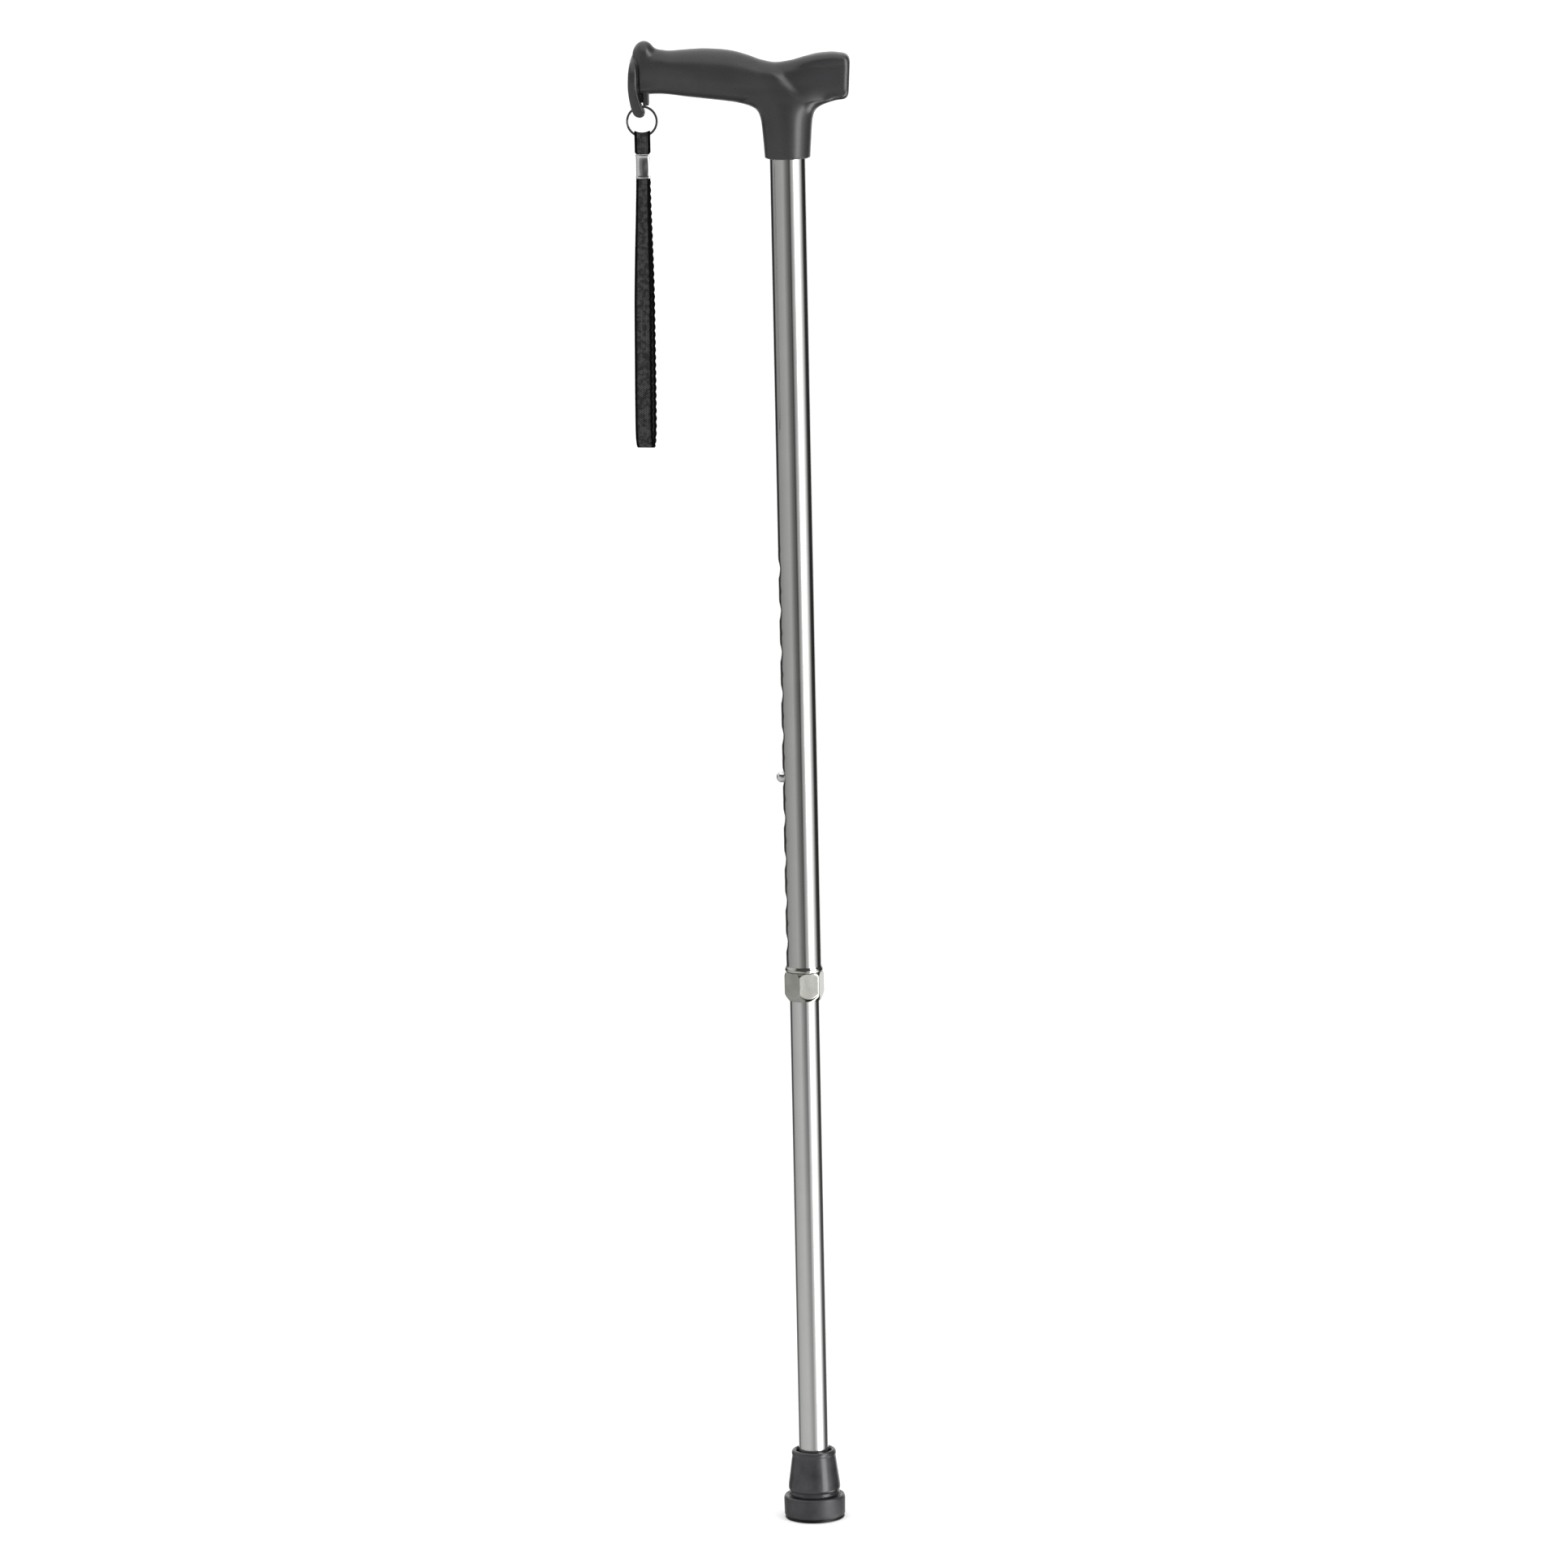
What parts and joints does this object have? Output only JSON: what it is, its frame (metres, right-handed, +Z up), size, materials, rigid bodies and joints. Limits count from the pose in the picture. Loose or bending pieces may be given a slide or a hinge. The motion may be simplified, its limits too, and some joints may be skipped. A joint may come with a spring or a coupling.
{
  "type": "single point cane",
  "caption": "Straight walking cane with a T-shaped palm grip, telescoping tube locked by a snap button and a hexagonal nut, rubber foot, and wrist strap on a split ring.",
  "frame": {"origin": "centre of the rubber tip's sole, on the floor under the shaft's axis", "axes": "+Z up along the shaft; +X towards the nose of the handle; the handle's end flange, the wrist strap and the row of adjustment holes are on -X; the handle's screw is on +Y"},
  "size_m": [0.1338, 0.0376, 0.9065],
  "materials": {
    "grip_plastic": "moulded charcoal plastic, satin, with a soft sheen",
    "screw_steel": "zinc-plated steel",
    "anodised_tube": "clear anodised, satin, drawn tube",
    "collar_aluminium": "turned and milled, satin",
    "chrome_plate": "bright nickel-chrome plating",
    "tip_rubber": "moulded rubber, semi-matt",
    "nylon": "natural nylon",
    "webbing": "woven nylon webbing"
  },
  "bodies": {
    "upper": {"handle": "grip_plastic", "handle_screw": "screw_steel", "upper_tube": "anodised_tube", "end_ferrule": "collar_aluminium"},
    "collar": {"compression_ring": "nylon"},
    "nut": {"lock_nut": "collar_aluminium"},
    "lower": {"lower_tube": "anodised_tube", "guide_bush": "nylon", "rubber_tip": "tip_rubber", "tip_washer": "screw_steel", "button_spring": "screw_steel"},
    "button": {"snap_button": "chrome_plate"},
    "ring": {"strap_ring": "chrome_plate"},
    "strap": {"strap_tab": "webbing", "strap_crimp": "chrome_plate", "wrist_strap": "webbing"}
  },
  "joints": [
    {"name": "height_slide", "type": "slide", "parent": "upper", "child": "lower", "axis": [0, 0, 1], "range_m": [-0.1016, 0.127], "deforming": ["snap_button"]},
    {"name": "button_press", "type": "slide", "parent": "lower", "child": "button", "axis": [1, 0, 0], "range_m": [0, 0.005], "stiffness_N_per_m": 1500, "springref_m": -0.002, "deforming": ["button_spring"]},
    {"name": "nut_advance", "type": "slide", "parent": "upper", "child": "collar", "axis": [0, 0, -1], "range_m": [0, 0.00225]},
    {"name": "nut_turn", "type": "hinge", "parent": "collar", "child": "nut", "pos_m": [0, 0, 0.332], "axis": [0, 0, -1], "range_deg": [0, 540]},
    {"name": "ring_swing", "type": "hinge", "parent": "upper", "child": "ring", "pos_m": [-0.0863, 0, 0.8675], "axis": [1, 0, 0], "range_deg": [-60, 60]},
    {"name": "strap_swing", "type": "hinge", "parent": "ring", "child": "strap", "pos_m": [-0.0863, 0, 0.8499], "axis": [1, 0, 0], "range_deg": [-80, 80], "deforming": ["strap_tab"]}
  ],
  "couplings": [
    {"joint": "nut_advance", "follows": "nut_turn", "m_per_rad": 0.00023873}
  ]
}
